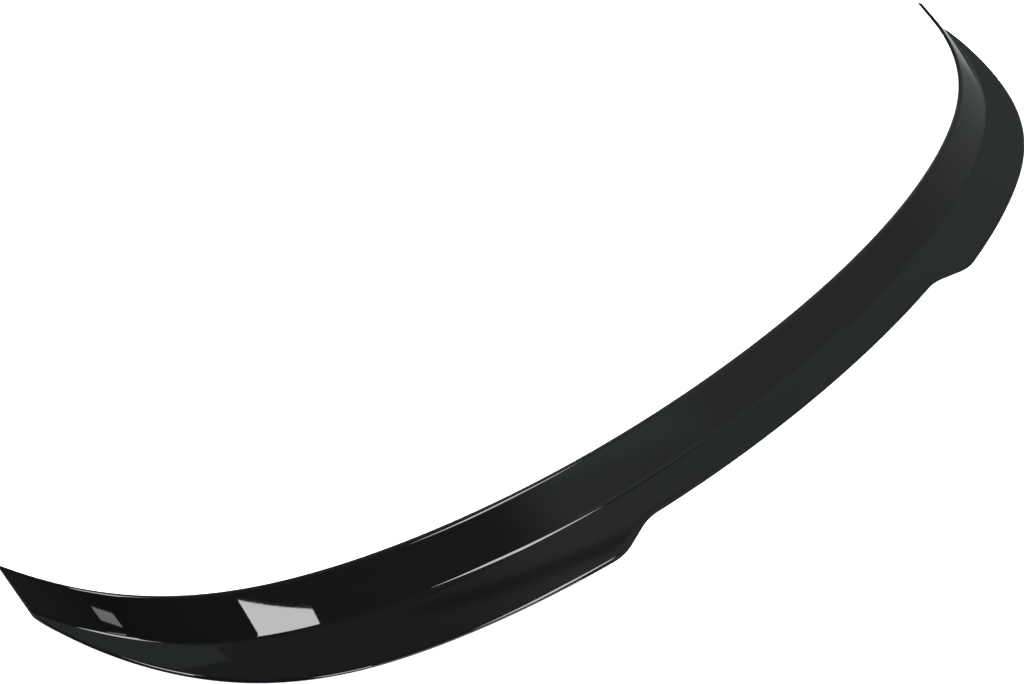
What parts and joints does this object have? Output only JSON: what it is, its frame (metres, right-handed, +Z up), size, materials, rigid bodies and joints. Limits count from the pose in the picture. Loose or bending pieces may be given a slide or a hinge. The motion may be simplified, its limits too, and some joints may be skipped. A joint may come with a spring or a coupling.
{
  "type": "car rear spoiler",
  "caption": "Boot-lid rear spoiler: a bowed lip with a creased lid panel, an upturned tail with a recessed middle, and a ribbed, open underside for bonding.",
  "frame": {"origin": "under the middle of the blade's box, on the plane that the rear foot stands on", "axes": "X runs across the car from end to end, +Y points to the front of the car, +Z is up with the blade lying on its rear foot"},
  "size_m": [1.2, 0.2882, 0.0337],
  "materials": {
    "gloss_black": "high-gloss black, smooth and unmarked"
  },
  "bodies": {
    "root": {"spoiler_blade": "gloss_black"}
  },
  "joints": []
}
